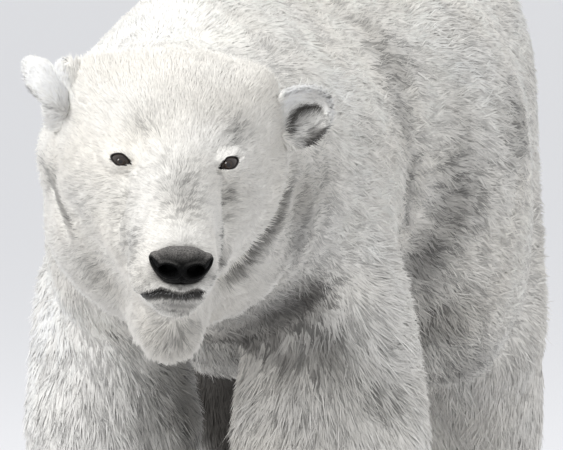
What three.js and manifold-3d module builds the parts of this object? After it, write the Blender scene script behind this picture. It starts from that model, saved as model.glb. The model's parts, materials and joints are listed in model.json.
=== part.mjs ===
// A polar bear as a still, life-size museum model: a large adult in mid-stride, head held low and
// turned to its left. Every solid reaches out to the tips of the coat.
// Millimetres, +Z up. The bear faces -Y, its left side is +X, and its soles stand on Z = 0.
import * as THREE from "three";
import { mergeVertices } from "three/addons/utils/BufferGeometryUtils.js";
import Module from "manifold-3d";

const wasm = await Module();
wasm.setup();

// ---- Driving sizes ----
const GAP = 0.3; // clear parting between pieces cut by one plane
const CLEARANCE = 0.8; // how far a bed is cut beyond the piece that lies in it
const BODY_SOFTNESS = 34; // how widely the masses of trunk and neck flow together
const HEAD_SOFTNESS = 9;
const LEG_SOFTNESS = 22;

const HEAD_AT = [118, -1000, 885]; // midway between the eyes
const HEAD_YAW = 19.4; // degrees, towards the bear's left
const HEAD_PITCH = 20; // nose down
const HEAD_ROLL = 2.2; // left side down

const EYE = { x: 69, y: 26.4, z: -2.5, radius: 13 };
const NOSE = { y: -198, z: -46, width: 79, height: 52 };
const EAR = { length: 94, width: 70, wall: 14 };
const CLAW = { length: 62, radius: 9 };
const STRIDE = 150; // how far a leading foot is ahead of its place at rest

const COAT = new THREE.MeshStandardMaterial({ color: 0xe9e4d8, roughness: 0.9, metalness: 0 });
const PAD = new THREE.MeshStandardMaterial({ color: 0x17161a, roughness: 0.45, metalness: 0 });
const HORN = new THREE.MeshStandardMaterial({ color: 0x26211d, roughness: 0.4, metalness: 0 });
const EYEBALL = new THREE.MeshStandardMaterial({ color: 0x140f0c, roughness: 0.08, metalness: 0 });

// ---- Masses: signed distances in millimetres, negative inside ----
const vec = (p) => new THREE.Vector3(...p);

// A frame is the place and turn of a group of masses; Euler angles are in degrees.
function frameAt(at, [pitch, roll, yaw] = [0, 0, 0]) {
  const turn = new THREE.Euler(...[pitch, roll, yaw].map(THREE.MathUtils.degToRad), "ZXY");
  return new THREE.Matrix4().makeRotationFromEuler(turn).setPosition(...at);
}

const BODY = frameAt([0, 0, 0]);
const HEAD = frameAt(HEAD_AT, [HEAD_PITCH, HEAD_ROLL, HEAD_YAW]);

// An egg-shaped mass with its own half sizes and turn inside a frame.
function lump(frame, at, radii, turn) {
  const inward = frameAt(at, turn).premultiply(frame).invert();
  const local = new THREE.Vector3();
  const scaled = new THREE.Vector3();
  const size = vec(radii);
  return (p) => {
    local.copy(p).applyMatrix4(inward).divide(size);
    const reach = local.length();
    const slope = scaled.copy(local).divide(size).length();
    return slope < 1e-9 ? -Math.min(...radii) : (reach * (reach - 1)) / slope;
  };
}

// A tapered round bar from one joint to the next, flattened sideways by the factor `flat`.
function bar(frame, from, fromRadius, to, toRadius, flat = 1) {
  const inward = frame.clone().invert();
  const squeeze = new THREE.Vector3(1 / flat, 1, 1);
  const start = vec(from).multiply(squeeze);
  const along = vec(to).multiply(squeeze).sub(start);
  const local = new THREE.Vector3();
  const span = along.lengthSq();
  return (p) => {
    local.copy(p).applyMatrix4(inward).multiply(squeeze).sub(start);
    const t = THREE.MathUtils.clamp(local.dot(along) / span, 0, 1);
    const radius = THREE.MathUtils.lerp(fromRadius, toRadius, t);
    return (local.addScaledVector(along, -t).length() - radius) * Math.min(1, flat);
  };
}

// The same mass on both sides of the midline.
const bothSides = (make) => [make(1), make(-1)];

// Masses that flow into one another over about `softness` millimetres.
function together(masses, softness) {
  return (p) => {
    let sum = 0;
    for (const mass of masses) sum += Math.exp(-mass(p) / softness);
    return -softness * Math.log(sum);
  };
}

// ---- Skinning: a capsule whose vertices are moved outwards onto a surface ----
const FAR = 900; // no ray is longer
const STEP = 12;

function reachAlong(field, origin, ray) {
  const p = new THREE.Vector3();
  const inside = (r) => field(p.copy(origin).addScaledVector(ray, r)) < 0;
  let far = STEP;
  while (far < FAR && inside(far)) far += STEP;
  let near = far - STEP;
  for (let i = 0; i < 14; i++) {
    const middle = (near + far) / 2;
    if (inside(middle)) near = middle;
    else far = middle;
  }
  return near;
}

// `spine` runs inside the mass from one end to the other; `up` is roughly square to it. A skin
// that is `grown` clears the plain one, and cuts the bed that the plain one lies in.
function skin(field, spine, up, { around, along, cap }, grown = 0) {
  const line = new THREE.CatmullRomCurve3(spine.map(vec), false, "centripetal");
  const capsule = new THREE.CapsuleGeometry(1, 2, cap, around, along);
  capsule.deleteAttribute("normal");
  capsule.deleteAttribute("uv");
  const shell = mergeVertices(capsule, 1e-4);
  const places = shell.getAttribute("position");
  const v = new THREE.Vector3();
  const ray = new THREE.Vector3();
  for (let i = 0; i < places.count; i++) {
    v.fromBufferAttribute(places, i);
    const onAxis = THREE.MathUtils.clamp(v.y, -1, 1);
    const u = (onAxis + 1) / 2;
    const tangent = line.getTangent(u);
    const side = new THREE.Vector3().crossVectors(tangent, vec(up)).normalize();
    const top = new THREE.Vector3().crossVectors(side, tangent);
    ray.set(0, 0, 0).addScaledVector(tangent, v.y - onAxis);
    ray.addScaledVector(side, v.x).addScaledVector(top, v.z).normalize();
    const origin = line.getPoint(u);
    const reach = reachAlong(field, origin, ray) + grown;
    places.setXYZ(i, ...origin.addScaledVector(ray, reach).toArray());
  }
  return shell;
}

// ---- Solids: joining and cutting ----
function solid(geometry) {
  const bare = geometry.index ? geometry : mergeVertices(geometry, 1e-4);
  const kept = [];
  const order = bare.index.array;
  for (let i = 0; i < order.length; i += 3) {
    const [a, b, c] = order.slice(i, i + 3);
    if (a !== b && b !== c && a !== c) kept.push(a, b, c);
  }
  const made = new wasm.Manifold(
    new wasm.Mesh({
      numProp: 3,
      vertProperties: new Float32Array(bare.getAttribute("position").array),
      triVerts: new Uint32Array(kept),
    }),
  );
  return made;
}

// A primitive's bare shape as a solid, moved by a matrix.
function primitive(geometry, matrix) {
  geometry.deleteAttribute("normal");
  geometry.deleteAttribute("uv");
  return solid(mergeVertices(geometry, 1e-4).applyMatrix4(matrix));
}

// An egg of its own half sizes and turn inside a frame.
function egg(frame, at, radii, turn, detail = [12, 6]) {
  const place = frameAt(at, turn).premultiply(frame).scale(vec(radii));
  return primitive(new THREE.SphereGeometry(1, ...detail), place);
}

// Everything on the side of a plane that `facing` points to, inside a large box.
const SPACE = 3000;
function halfSpace(point, facing, setBack = 0) {
  const turn = new THREE.Quaternion().setFromUnitVectors(
    new THREE.Vector3(0, 0, 1),
    vec(facing).normalize(),
  );
  const centre = vec(point).addScaledVector(vec(facing).normalize(), SPACE / 2 + setBack);
  const place = new THREE.Matrix4().compose(centre, turn, new THREE.Vector3(1, 1, 1));
  return primitive(new THREE.BoxGeometry(SPACE, SPACE, SPACE), place);
}

const backwards = (facing) => facing.map((n) => -n);

// The largest piece, so that no loose sliver is left by a cut.
function largest(whole) {
  return whole.decompose().sort((a, b) => b.volume() - a.volume())[0];
}

const bear = new THREE.Group();

function addPiece(name, whole, material) {
  const cut = largest(whole).getMesh();
  const corners = new Float32Array(cut.numVert * 3);
  for (let i = 0; i < cut.numVert; i++) {
    corners.set(cut.vertProperties.subarray(i * cut.numProp, i * cut.numProp + 3), i * 3);
  }
  const shape = new THREE.BufferGeometry();
  shape.setAttribute("position", new THREE.BufferAttribute(corners, 3));
  shape.setIndex(new THREE.BufferAttribute(cut.triVerts, 1));
  shape.computeVertexNormals();
  const mesh = new THREE.Mesh(shape, material);
  mesh.name = name;
  bear.add(mesh);
}

// ---- Head, neck and trunk ----
const BEARD = { at: [4, 62, -201], half: [56, 125, 85] }; // hangs under the jaw
const headMasses = [
  lump(HEAD, [0, 188, -20], [144, 158, 112]), // crown
  ...bothSides((s) => lump(HEAD, [s * 60, 110, -70], [84, 90, 100])), // cheek
  ...bothSides((s) => lump(HEAD, [s * 54, 14, -86], [36, 76, 44])), // corner of the mouth
  ...bothSides((s) => lump(HEAD, [s * 92, 168, 14], [54, 50, 64])), // root of the ear
  lump(HEAD, [0, 34, -8], [66, 84, 36]), // brow
  ...bothSides((s) => lump(HEAD, [s * 70, 70, -58], [42, 68, 52])), // cheekbone
  bar(HEAD, [0, 0, -32], 50, [0, -152, -56], 42, 1.16), // bridge of the muzzle
  ...bothSides((s) => lump(HEAD, [s * 22, -150, -76], [31, 52, 35])), // upper lip
  bar(HEAD, [0, -136, -116], 30, [0, 80, -150], 72, 1.1), // lower jaw
  lump(HEAD, [0, 160, -156], [106, 125, 118]), // throat
  ...bothSides((s) => lump(HEAD, [s * 95, 284, -110], [78, 80, 82])), // ruff behind the cheek
];
const trunkMasses = [
  bar(BODY, [48, -770, 835], 178, [4, -470, 880], 205, 1), // neck
  lump(BODY, [10, -540, 765], [175, 140, 150]), // breast
  lump(BODY, [0, -190, 842], [226, 400, 240]), // rib cage
  lump(BODY, [0, -330, 1045], [70, 250, 112]), // withers
  lump(BODY, [0, 20, 885], [205, 330, 262]), // back
  ...bothSides((s) => lump(BODY, [s * 158, -385, 765], [86, 180, 190])), // shoulder
  lump(BODY, [0, 215, 830], [318, 380, 342]), // belly
  ...bothSides((s) => lump(BODY, [s * 162, 345, 640], [130, 290, 210])), // low flank
  lump(BODY, [0, 560, 945], [250, 310, 268]), // rump
  ...bothSides((s) => lump(BODY, [s * 140, 590, 800], [102, 225, 200])), // haunch
];
const headField = together(headMasses, HEAD_SOFTNESS);
const trunkField = together(trunkMasses, BODY_SOFTNESS);
const wholeField = together([headField, trunkField], 10);

const toBody = (p) => vec(p).applyMatrix4(HEAD).toArray();
const headDirection = (d) => vec(d).transformDirection(HEAD).toArray();

const headSpine = [
  [0, 330, -110], [0, 230, -90], [0, 130, -70], [0, 50, -66], [0, -40, -68], [0, -110, -76],
  [0, -150, -82],
].map(toBody);
const trunkSpine = [
  [0, 640, 880], [0, 300, 850], [0, -60, 850], [0, -400, 850], [30, -620, 830], [70, -840, 810],
];
const headDetail = { around: 28, along: 20, cap: 4 };
const trunkDetail = { around: 24, along: 17, cap: 3 };
const headSkin = (grown) =>
  solid(skin(wholeField, headSpine, headDirection([0, 0, 1]), headDetail, grown));

const NAPE = { at: toBody([0, 205, 0]), facing: headDirection([0, -1, -0.1]) };
const NECK_ROOT = { at: [0, -560, 860], facing: [0.12, -1, 0.28] };

const headWhole = headSkin(0).intersect(halfSpace(NAPE.at, NAPE.facing, GAP / 2));
const trunkWhole = solid(skin(wholeField, trunkSpine, [0, 0, 1], trunkDetail));
const neckWhole = trunkWhole
  .intersect(halfSpace(NAPE.at, backwards(NAPE.facing), GAP / 2))
  .intersect(halfSpace(NECK_ROOT.at, NECK_ROOT.facing, GAP / 2));

// ---- Legs ----
// Each leg runs from a joint inside the trunk down to the paw. Joints are [x, y, z, radius].
const LEGS = [
  { name: "foreleg_left", side: 1, fore: true, step: -STRIDE, girth: 1, out: 0 },
  { name: "foreleg_right", side: -1, fore: true, step: STRIDE * 0.4, girth: 0.85, out: 10 },
  { name: "hindleg_left", side: 1, fore: false, step: STRIDE, girth: 1, out: 0 },
  { name: "hindleg_right", side: -1, fore: false, step: -STRIDE * 0.8, girth: 1, out: 48 },
];

// How far a joint moves with the foot: nothing at the top, all of it at the ground.
const swing = (step, share) => step * share;

function foreJoints({ side, step, out }) {
  return [
    { at: [side * 150, -415 + swing(step, 0.1), 850], radius: 110 },
    { at: [side * (170 + out), -372 + swing(step, 0.2), 620], radius: 124 },
    { at: [side * (173 + out), -350 + swing(step, 0.35), 470], radius: 146 },
    { at: [side * (170 + out), -384 + swing(step, 0.68), 300], radius: 122 },
    { at: [side * (163 + out), -410 + swing(step, 0.97), 150], radius: 96 },
  ];
}

function hindJoints({ side, step, out }) {
  return [
    { at: [side * 128, 625 + swing(step, 0.05), 850], radius: 150 },
    { at: [side * (136 + out * 0.4), 565 + swing(step, 0.2), 680], radius: 138 },
    { at: [side * (145 + out * 0.8), 515 + swing(step, 0.35), 530], radius: 145 },
    { at: [side * (142 + out), 580 + swing(step, 0.8), 345], radius: 112 },
    { at: [side * (140 + out), 650 + swing(step, 1), 150], radius: 94 },
  ];
}

const FOREPAW = { half: [112, 140, 60], ahead: 62, toe: [26, 54, 42], reach: 112, height: 54 };
const HINDPAW = { half: [98, 165, 56], ahead: 84, toe: [23, 50, 37], reach: 142, height: 50 };
const TOES = 5;
const TOE_IN = 9; // degrees that the paws turn inwards

function pawOf(leg, joints) {
  const size = leg.fore ? FOREPAW : HINDPAW;
  const wrist = joints.at(-1).at;
  const frame = frameAt([wrist[0], wrist[1] - size.ahead, size.height], [0, 0, -leg.side * TOE_IN]);
  const toes = [];
  for (let i = 0; i < TOES; i++) {
    const spread = i / (TOES - 1) - 0.5; // -0.5 to 0.5 across the paw
    const x = spread * size.half[0] * 1.42;
    const y = -size.reach + 110 * spread * spread;
    toes.push({ x, y, turn: -spread * 26 });
  }
  return { size, frame, toes };
}

const LEG_FLAT = { fore: 0.88, hind: 0.88 };

function legField(leg, joints, paw) {
  const flat = leg.fore ? LEG_FLAT.fore : LEG_FLAT.hind;
  const bars = joints.slice(1).map((joint, i) => {
    const above = joints[i];
    const [top, bottom] = [above.radius * leg.girth, joint.radius * leg.girth];
    return bar(BODY, above.at, top, joint.at, bottom, flat);
  });
  const limb = together(bars, LEG_SOFTNESS);
  const pad = lump(paw.frame, [0, 0, -4], paw.size.half);
  return { limb, foot: together([limb, pad], 14) };
}

// A claw is a cone bent downwards, set into the front of its toe.
function clawSolid(frame, { x, y, turn }, grown = 0) {
  const cone = new THREE.ConeGeometry(CLAW.radius + grown, CLAW.length + grown, 4, 2);
  cone.rotateX(Math.PI / 2).rotateZ(Math.PI); // the tip points to -Y after the next turn
  cone.rotateX(Math.PI / 2 + 0.3);
  const places = cone.getAttribute("position");
  for (let i = 0; i < places.count; i++) {
    const forward = -places.getY(i) + CLAW.length / 2;
    const drop = (forward * forward) / (3.4 * CLAW.length);
    places.setXYZ(i, places.getX(i) * 0.8, places.getY(i), places.getZ(i) - drop);
  }
  const place = frameAt([x, y - 52, 0], [0, 0, turn]).premultiply(frame);
  return primitive(cone, place);
}

const FLOOR = halfSpace([0, 0, 0], [0, 0, 1]);
const legDetail = { around: 12, along: 12, cap: 2 };
const pawDetail = { around: 12, along: 3, cap: 2 };

// The planes that part upper leg, lower leg and paw.
const plane = (joint, lift, facing) => ({
  at: [joint.at[0], joint.at[1], joint.at[2] + lift],
  facing,
});

let trunkCut = trunkWhole.intersect(
  halfSpace(NECK_ROOT.at, backwards(NECK_ROOT.facing), GAP / 2),
);
let neckCut = neckWhole;
const thighs = [];

for (const leg of LEGS) {
  const joints = leg.fore ? foreJoints(leg) : hindJoints(leg);
  const paw = pawOf(leg, joints);
  const fields = legField(leg, joints, paw);
  const spine = joints.map((joint) => joint.at);
  const last = joints.at(-1);
  spine.push([last.at[0], last.at[1] - 8, 70]);
  const ownSide = halfSpace([0, 0, 0], [leg.side, 0, 0], 12); // the thighs don't meet
  const limb = solid(skin(fields.limb, spine, [0, -1, 0], legDetail)).intersect(ownSide);
  const limbGrown = solid(skin(fields.limb, spine, [0, -1, 0], legDetail, CLEARANCE));
  const heel = new THREE.Vector3(0, paw.size.half[1] * 0.55, -6).applyMatrix4(paw.frame).toArray();
  const ball = new THREE.Vector3(0, -paw.size.half[1] * 0.6, -8).applyMatrix4(paw.frame).toArray();
  let foot = solid(skin(fields.foot, [heel, ball], [0, 0, 1], pawDetail));
  for (const { x, y, turn } of paw.toes) {
    foot = foot.add(egg(paw.frame, [x, y, -12], paw.size.toe, [0, 0, turn], [7, 5]));
  }
  const elbow = plane(joints[2], leg.fore ? 30 : -50, [0, 0.1, 1]);
  const ankle = plane(last, -26, [0, 0.2, 1]);

  const claws = paw.toes.map((t) => clawSolid(paw.frame, t));
  let footCut = foot
    .intersect(halfSpace(ankle.at, backwards(ankle.facing), GAP / 2))
    .intersect(FLOOR);
  paw.toes.forEach((t) => {
    footCut = footCut.subtract(clawSolid(paw.frame, t, GAP * 2));
  });

  thighs.push([`${leg.name}_upper`, limb.intersect(halfSpace(elbow.at, elbow.facing, GAP / 2))]);
  addPiece(
    `${leg.name}_lower`,
    limb
      .intersect(halfSpace(elbow.at, backwards(elbow.facing), GAP / 2))
      .intersect(halfSpace(ankle.at, ankle.facing, GAP / 2)),
    COAT,
  );
  addPiece(`${leg.name}_paw`, footCut, COAT);
  claws.forEach((claw, i) => addPiece(`${leg.name}_claw_${i + 1}`, claw, HORN));
  trunkCut = trunkCut.subtract(limbGrown);
  neckCut = neckCut.subtract(limbGrown);
}

// ---- Tail ----
const tailField = together([bar(BODY, [0, 800, 1010], 42, [0, 872, 925], 34, 1.1)], 8);
const tailSpine = [[0, 800, 1010], [0, 872, 925]];
const tailDetail = { around: 8, along: 2, cap: 3 };
trunkCut = trunkCut.subtract(solid(skin(tailField, tailSpine, [0, -1, 0], tailDetail, CLEARANCE)));
addPiece("tail", solid(skin(tailField, tailSpine, [0, -1, 0], tailDetail)), COAT);
addPiece("trunk", trunkCut, COAT);
addPiece("neck", neckCut, COAT);
// Where a bed still touches at a fold, the leg gives way.
for (const [name, thigh] of thighs) {
  addPiece(name, thigh.subtract(trunkCut).subtract(neckCut), COAT);
}

// ---- Head: ears, eyes and nose are set into it ----
// The pinna is a thick leaf with a bowl pressed into its front.
const EARS = [
  { name: "ear_left", at: [168, 160, 10], turn: [4, 60, 8] },
  { name: "ear_right", at: [-164, 160, 44], turn: [-6, -56, -48] },
];
const headGrown = headSkin(CLEARANCE);

for (const ear of EARS) {
  const frame = frameAt(ear.at, ear.turn).premultiply(HEAD);
  const [w, t, l] = [EAR.width / 2, EAR.wall, EAR.length / 2];
  const leaf = egg(frame, [0, 0, 0], [w, t, l], [0, 0, 0], [12, 8]);
  const bowl = egg(frame, [0, -t, 2], [w * 0.7, t * 1.3, l * 0.7], [0, 0, 0], [10, 6]);
  addPiece(ear.name, leaf.subtract(bowl).subtract(headGrown), COAT);
}

let headCut = headWhole.add(egg(HEAD, BEARD.at, BEARD.half, [0, 0, 0], [12, 8]));
for (const [name, side] of [["eye_left", 1], ["eye_right", -1]]) {
  const at = [side * EYE.x, EYE.y, EYE.z];
  const socket = EYE.radius + GAP;
  addPiece(name, egg(HEAD, at, [EYE.radius, EYE.radius, EYE.radius]), EYEBALL);
  headCut = headCut.subtract(egg(HEAD, at, [socket, socket, socket]));
  headCut = headCut.subtract(egg(HEAD, [at[0] + side * 4, at[1] - 14, at[2]], [17, 15, 12]));
}

const nosePad = (grown) => {
  const [w, h] = [NOSE.width / 2 + grown, NOSE.height / 2 + grown];
  return egg(HEAD, [0, NOSE.y + 12, NOSE.z + 2], [w, 26 + grown, h], [-12, 0, 0], [14, 8]);
};
let nose = nosePad(0);
bothSides((s) => {
  const nostril = egg(HEAD, [s * 17, NOSE.y - 12, NOSE.z - 4], [10, 14, 8], [0, s * 20, 0], [8, 6]);
  nose = nose.subtract(nostril);
});
addPiece("nose", nose, PAD);
headCut = headCut.subtract(nosePad(GAP));
addPiece("head", headCut, COAT);

// The origin is on the floor under the middle of the whole animal.
const whole = new THREE.Box3().setFromObject(bear);
const middle = whole.getCenter(new THREE.Vector3());
bear.position.set(-middle.x, -middle.y, -whole.min.z);

export default bear;
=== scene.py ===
# %% [markdown]
# # A life-size polar bear in its coat
#
# The solids that come with this scene already have the animal's true outline, out to the tips
# of its coat. What they lack is everything soft: skin without seams, eyelids, lips, the leather
# of the nose and, above all, fur. This lesson builds those over the solids, one layer at a time:
# first the camera and the light, then one skin, then the face, and at last the coat.

# %% Load the solids
import json
import math

import bpy
import numpy as np
from mathutils import Euler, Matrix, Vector
from mathutils.kdtree import KDTree

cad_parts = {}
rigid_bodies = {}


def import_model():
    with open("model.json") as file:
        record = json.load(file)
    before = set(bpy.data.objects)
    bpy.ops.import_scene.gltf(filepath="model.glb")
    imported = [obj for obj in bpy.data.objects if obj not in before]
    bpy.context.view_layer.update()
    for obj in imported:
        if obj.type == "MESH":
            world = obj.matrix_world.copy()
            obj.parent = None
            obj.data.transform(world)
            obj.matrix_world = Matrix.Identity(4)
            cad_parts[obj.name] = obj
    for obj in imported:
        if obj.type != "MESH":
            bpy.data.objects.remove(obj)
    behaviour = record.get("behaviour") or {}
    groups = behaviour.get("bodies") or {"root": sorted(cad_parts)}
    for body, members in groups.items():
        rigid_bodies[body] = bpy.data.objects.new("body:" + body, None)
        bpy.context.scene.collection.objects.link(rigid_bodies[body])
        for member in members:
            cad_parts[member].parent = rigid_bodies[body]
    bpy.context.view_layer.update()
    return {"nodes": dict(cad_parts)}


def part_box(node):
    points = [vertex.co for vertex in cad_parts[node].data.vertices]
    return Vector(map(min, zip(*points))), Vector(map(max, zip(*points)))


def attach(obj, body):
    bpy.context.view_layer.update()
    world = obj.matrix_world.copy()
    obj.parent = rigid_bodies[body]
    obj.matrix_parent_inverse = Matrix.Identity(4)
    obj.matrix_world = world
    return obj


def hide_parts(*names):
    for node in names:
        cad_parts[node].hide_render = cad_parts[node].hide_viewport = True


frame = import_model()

# %% [markdown]
# ## The head's own axes
#
# The head is turned and lowered, so it is far easier to say where an eyelid or a lip is in the
# head's own axes: x to the animal's left, y back to the nape, z up. Their origin lies between
# the eyes, a little in front of the line that joins them. The turn is the one that the solids
# were built with; the place is measured from the two eyes.

# %% Head axes
HEAD_TURN = Euler((math.radians(20), math.radians(2.2), math.radians(19.4)), "YXZ").to_matrix()
EYES_AT = (0, 0.0264, -0.0025)  # the middle between the eyes, in the head's axes


def middle(node):
    """The centre of a solid's box."""
    low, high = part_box(node)
    return (Vector(low) + Vector(high)) / 2


between_eyes = (middle("eye_left") + middle("eye_right")) / 2
HEAD = np.array(HEAD_TURN)
HEAD_AT = np.array(between_eyes - HEAD_TURN @ Vector(EYES_AT))


def to_head(points):
    """Points of the scene, in the head's axes."""
    return (np.asarray(points) - HEAD_AT) @ HEAD


def from_head(points):
    """Points of the head's axes, in the scene."""
    return np.asarray(points) @ HEAD.T + HEAD_AT


for name in ("eye_left", "eye_right", "nose", "ear_left", "ear_right"):
    print(name, "in head axes", to_head(middle(name)).round(4))

# %% [markdown]
# ## Camera, light and floor
#
# A long lens from five and a half metres away, a little above the animal's eye level and
# looking slightly down, flattens the head against the trunk as a wildlife portrait does. The
# light is a large soft source high on the viewer's left, with a weaker one over the back, so that
# the side on the viewer's right falls into a mild grey. The floor is a wide pale plane.

# %% Camera
VIEW_TURN, VIEW_RISE = math.radians(15), math.radians(5)
VIEW_DISTANCE = 5.506
EYES_OFF_CENTRE = (-0.1369, 0.0788)  # where the eyes sit from the middle of the picture, in metres
LENS = 274.8

back = Vector((
    math.sin(VIEW_TURN) * math.cos(VIEW_RISE),
    -math.cos(VIEW_TURN) * math.cos(VIEW_RISE),
    math.sin(VIEW_RISE),
))
rightward = Vector((math.cos(VIEW_TURN), math.sin(VIEW_TURN), 0))
upward = back.cross(rightward)

camera = bpy.data.objects.new("camera", bpy.data.cameras.new("camera"))
camera.data.lens = LENS
camera.data.sensor_width = 36
camera.data.clip_end = 100
camera.rotation_euler = (math.pi / 2 - VIEW_RISE, 0, VIEW_TURN)
camera.location = (
    between_eyes
    + back * VIEW_DISTANCE
    - rightward * EYES_OFF_CENTRE[0]
    - upward * EYES_OFF_CENTRE[1]
)
bpy.context.scene.collection.objects.link(camera)
bpy.context.scene.camera = camera
print("camera at", [round(c, 4) for c in camera.location])


# %% Lights
def soft_light(name, at, aim, width, power):
    """A round area light that shines from one point towards another."""
    light = bpy.data.objects.new(name, bpy.data.lights.new(name, "AREA"))
    light.data.shape = "DISK"
    light.data.size = width
    light.data.energy = power
    light.location = at
    light.rotation_euler = (Vector(at) - Vector(aim)).to_track_quat("Z", "Y").to_euler()
    light.visible_camera = False
    bpy.context.scene.collection.objects.link(light)


AIM = (0.0, -0.4, 0.8)
soft_light("key_light", (-1.8, -4.4, 3.6), AIM, 2.0, 124)
soft_light("top_light", (-0.4, 0.8, 4.2), AIM, 2.6, 50)

world = bpy.data.worlds.new("studio")
bpy.context.scene.world = world
world.use_nodes = True
sky = world.node_tree.nodes["Background"]
sky.inputs["Color"].default_value = (0.92, 0.93, 0.95, 1)
sky.inputs["Strength"].default_value = 1.05
bpy.context.scene.view_settings.view_transform = "Standard"


# %% Tools for picking and for materials
def deselect():
    """Leaves nothing selected, so that the next operator acts on what is picked after it."""
    if bpy.context.mode != "OBJECT":
        bpy.ops.object.mode_set(mode="OBJECT")
    for item in bpy.context.selected_objects:
        item.select_set(False)


def pick(*items):
    """Selects these objects alone and makes the first one active."""
    deselect()
    for item in items:
        item.select_set(True)
    bpy.context.view_layer.objects.active = items[0]


def feed(node, inputs):
    """Gives each of these inputs of a shader node a value, or a wire from another node."""
    for key, value in inputs.items():
        if isinstance(value, bpy.types.NodeSocket):
            node.id_data.links.new(value, node.inputs[key])
        else:
            node.inputs[key].default_value = value


def finish_of(material, inputs):
    """Feeds the material's own shader."""
    feed(material.node_tree.nodes["Principled BSDF"], inputs)


def wired(material, kind, output, inputs=None, **choices):
    """Adds a shader node with these choices and inputs, and gives back one of its outputs."""
    node = material.node_tree.nodes.new("ShaderNode" + kind)
    for choice, value in choices.items():
        setattr(node, choice, value)
    feed(node, inputs or {})
    return node.outputs[output]


def colour_ramp(material, value, stops):
    """Colours that follow a value: each stop has its place from 0 to 1 and its colour."""
    output = wired(material, "ValToRGB", "Color", {"Fac": value})
    ramp_stops = output.node.color_ramp.elements
    for element, (place, colour) in zip(ramp_stops, (stops[0], stops[-1])):
        element.position, element.color = place, (*colour, 1)
    for place, colour in stops[1:-1]:
        ramp_stops.new(place).color = (*colour, 1)
    return output


def plain_material(name, colour, roughness):
    """A new Principled material with a set colour and roughness."""
    material = bpy.data.materials.new(name)
    material.use_nodes = True
    finish_of(material, {"Base Color": (*colour, 1), "Roughness": roughness})
    return material


# %% Floor
deselect()
bpy.ops.mesh.primitive_plane_add(size=120, location=(0, 0, 0))
floor = bpy.context.object
floor.name = "floor"
floor.data.materials.append(plain_material("floor_paint", (0.72, 0.72, 0.73), 0.9))

# %% [markdown]
# ## One skin
#
# Head, neck, trunk, tail, legs and paws are separate solids, but a real bear has one skin.
# Copies of them are joined, fattened by a hair so that the gaps between them close, and turned
# into one surface by a voxel remesh. The ears are too thin for that and are welded in later.
# The solids are faceted, so the surface is then relaxed: much on the trunk, less on the legs,
# and very little on the toes, which would melt. Relaxing also thins a limb, so its lost girth
# is measured and put back. Last, the surface sinks by the depth of the coat that will lie on it.

# %% Join the flesh
FLESH = sorted(
    name for name in frame["nodes"]
    if "claw" not in name and not name.startswith(("eye_", "nose"))
)
VOXEL = 0.0075
SEAM_CLOSER = 0.0008

copies = []
for name in FLESH:
    if name.startswith("ear"):
        continue
    copy = bpy.data.objects.new("flesh_" + name, frame["nodes"][name].data.copy())
    bpy.context.scene.collection.objects.link(copy)
    copies.append(copy)
pick(*copies)
bpy.ops.object.join()
skin = bpy.context.object
skin.name = "skin"
skin.data.materials.clear()
bpy.ops.object.mode_set(mode="EDIT")
bpy.ops.mesh.select_all(action="SELECT")
bpy.ops.mesh.remove_doubles(threshold=0.00001)
bpy.ops.transform.shrink_fatten(value=SEAM_CLOSER)
bpy.ops.object.mode_set(mode="OBJECT")
remesh = skin.modifiers.new("one_surface", "REMESH")
remesh.mode = "VOXEL"
remesh.voxel_size = VOXEL
bpy.ops.object.modifier_apply(modifier=remesh.name)
print("one skin:", len(skin.data.vertices), "vertices,", len(skin.data.polygons), "faces")


# %% Read and write a mesh as arrays
def read_rows(items, key, width, kind=float):
    """One property of every vertex, edge or face, as an array with a row for each."""
    flat = np.empty(len(items) * width, dtype=kind)
    items.foreach_get(key, flat)
    return flat.reshape(-1, width)


def points_of(piece):
    """The places of a mesh's vertices."""
    return read_rows(piece.data.vertices, "co", 3)


def move_points(piece, points):
    """Puts the vertices of a mesh at these places."""
    piece.data.vertices.foreach_set("co", np.ascontiguousarray(points).ravel())
    piece.data.update()


def normals_of(piece):
    """The vertex normals of a mesh."""
    return read_rows(piece.data.vertex_normals, "vector", 3)


class Neighbours:
    """Averages any value over the vertices that share an edge with each vertex."""

    def __init__(self, piece):
        ends = read_rows(piece.data.edges, "vertices", 2, np.int32)
        self.count = len(piece.data.vertices)
        self.here = np.concatenate([ends[:, 0], ends[:, 1]])
        self.there = np.concatenate([ends[:, 1], ends[:, 0]])
        self.share = 1 / np.maximum(np.bincount(self.here, minlength=self.count), 1)

    def average(self, values):
        if values.ndim == 1:
            total = np.bincount(self.here, values[self.there], minlength=self.count)
            return total * self.share
        return np.stack([self.average(column) for column in values.T], axis=1)

    def relax(self, values, rounds, strength=0.5):
        """Moves each value towards its neighbours' average, again and again."""
        for _ in range(rounds):
            change = self.average(values) - values
            values = values + change * (strength if np.ndim(strength) == 0 else
                                        strength.reshape(-1, *[1] * (values.ndim - 1)))
        return values


# %% Which solid each part of the skin came from
FACE_SPOTS = ((0.6, 0.2, 0.2), (0.2, 0.6, 0.2), (0.2, 0.2, 0.6))  # shares of a face's corners


def nearest_solid(points):
    """For each point, the number in FLESH of the solid whose surface is nearest."""
    samples = []
    for number, name in enumerate(FLESH):
        mesh = frame["nodes"][name].data
        corners = np.array([v.co for v in mesh.vertices])
        triangles = corners[np.array([p.vertices[:] for p in mesh.polygons])]
        for weights in FACE_SPOTS:
            samples += [(spot, number) for spot in np.einsum("tkc,k->tc", triangles, weights)]
        samples += [(spot, number) for spot in triangles.mean(axis=1)]
    tree = KDTree(len(samples))
    for index, (place, _) in enumerate(samples):
        tree.insert(place, index)
    tree.balance()
    return np.array([samples[tree.find(p)[1]][1] for p in points])


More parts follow.
